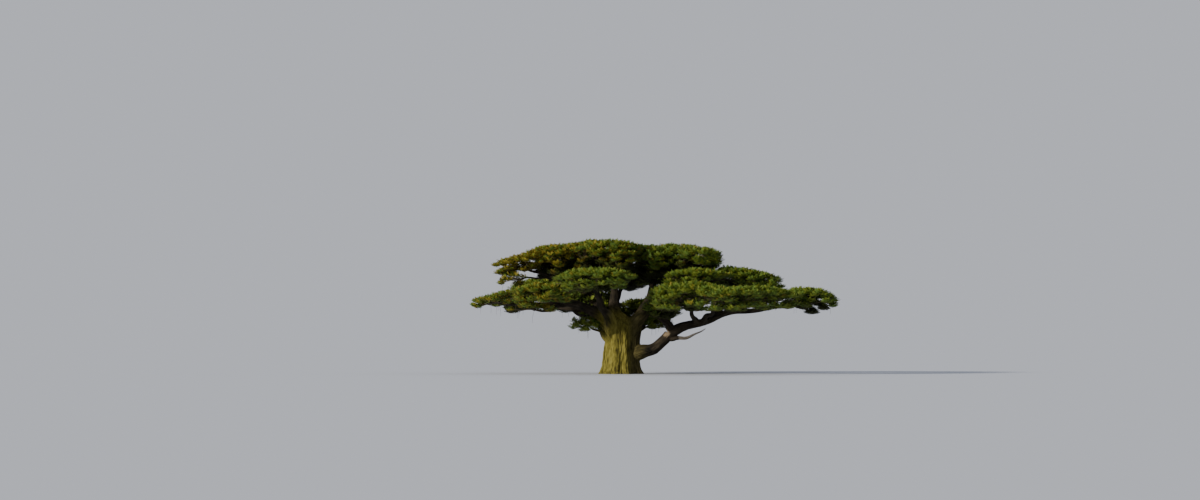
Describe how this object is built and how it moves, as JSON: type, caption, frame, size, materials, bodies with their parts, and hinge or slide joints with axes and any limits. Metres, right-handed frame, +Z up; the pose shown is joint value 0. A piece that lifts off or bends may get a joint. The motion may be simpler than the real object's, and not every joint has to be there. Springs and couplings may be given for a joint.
{
  "type": "umbrella thorn tree",
  "caption": "Broad flat-topped savanna thorn tree with a short fluted trunk, spreading boughs and a tiered leafy crown.",
  "frame": {"origin": "middle of the flat cut under the trunk, at ground level", "axes": "+Z up the trunk, +X along the crown's long side towards the low right bough, -Y towards the side seen in the picture"},
  "size_m": [25.5729, 18.6334, 9.6298],
  "materials": {
    "trunk_bark": "rough fluted grey-olive bark with vertical ridges",
    "bough_bark": "rough dark grey-brown bark",
    "dead_wood": "weathered bare grey wood",
    "foliage": "matt olive green leaflets",
    "golden_foliage": "matt golden olive leaflets",
    "shaded_foliage": "matt dark green leaflets"
  },
  "bodies": {
    "root": {"trunk": "trunk_bark", "right_bough_root": "bough_bark", "right_bough": "bough_bark", "crown_centre_limb": "bough_bark", "right_front_inner_limb": "bough_bark", "right_front_limb": "bough_bark", "right_front_outer_limb": "bough_bark", "right_upper_limb": "bough_bark", "right_back_limb": "bough_bark", "crown_right_bough": "bough_bark", "top_right_bough": "bough_bark", "top_right_outer_limb": "bough_bark", "centre_back_limb": "bough_bark", "top_bough": "bough_bark", "top_left_bough": "bough_bark", "top_left_outer_limb": "bough_bark", "top_left_drooping_limb": "bough_bark", "left_bough": "bough_bark", "left_front_limb": "bough_bark", "left_low_limb": "bough_bark", "left_back_limb": "bough_bark", "left_inner_bough": "bough_bark", "left_under_limb": "bough_bark", "back_left_bough": "bough_bark", "back_bough": "bough_bark", "back_upper_limb": "bough_bark", "back_right_bough": "bough_bark", "low_left_limb": "bough_bark", "low_right_limb": "bough_bark", "dead_branch": "dead_wood", "foliage_top_left_tip": "golden_foliage", "foliage_top_left_hanging": "golden_foliage", "foliage_top_left": "golden_foliage", "foliage_top": "foliage", "foliage_top_right": "foliage", "foliage_top_right_tip": "foliage", "foliage_right_upper": "foliage", "foliage_right_shoulder": "foliage", "foliage_right_front_inner": "foliage", "foliage_right_front": "foliage", "foliage_right_front_outer": "foliage", "foliage_right_tip": "foliage", "foliage_right_back": "foliage", "foliage_centre": "shaded_foliage", "foliage_centre_back": "shaded_foliage", "foliage_left_inner": "foliage", "foliage_left": "foliage", "foliage_left_tip": "foliage", "foliage_left_low": "foliage", "foliage_left_back": "foliage", "foliage_left_under": "shaded_foliage", "foliage_back_left": "foliage", "foliage_back": "foliage", "foliage_back_upper": "foliage", "foliage_back_right": "foliage", "foliage_low_left": "shaded_foliage", "foliage_low_right": "shaded_foliage"}
  },
  "joints": []
}
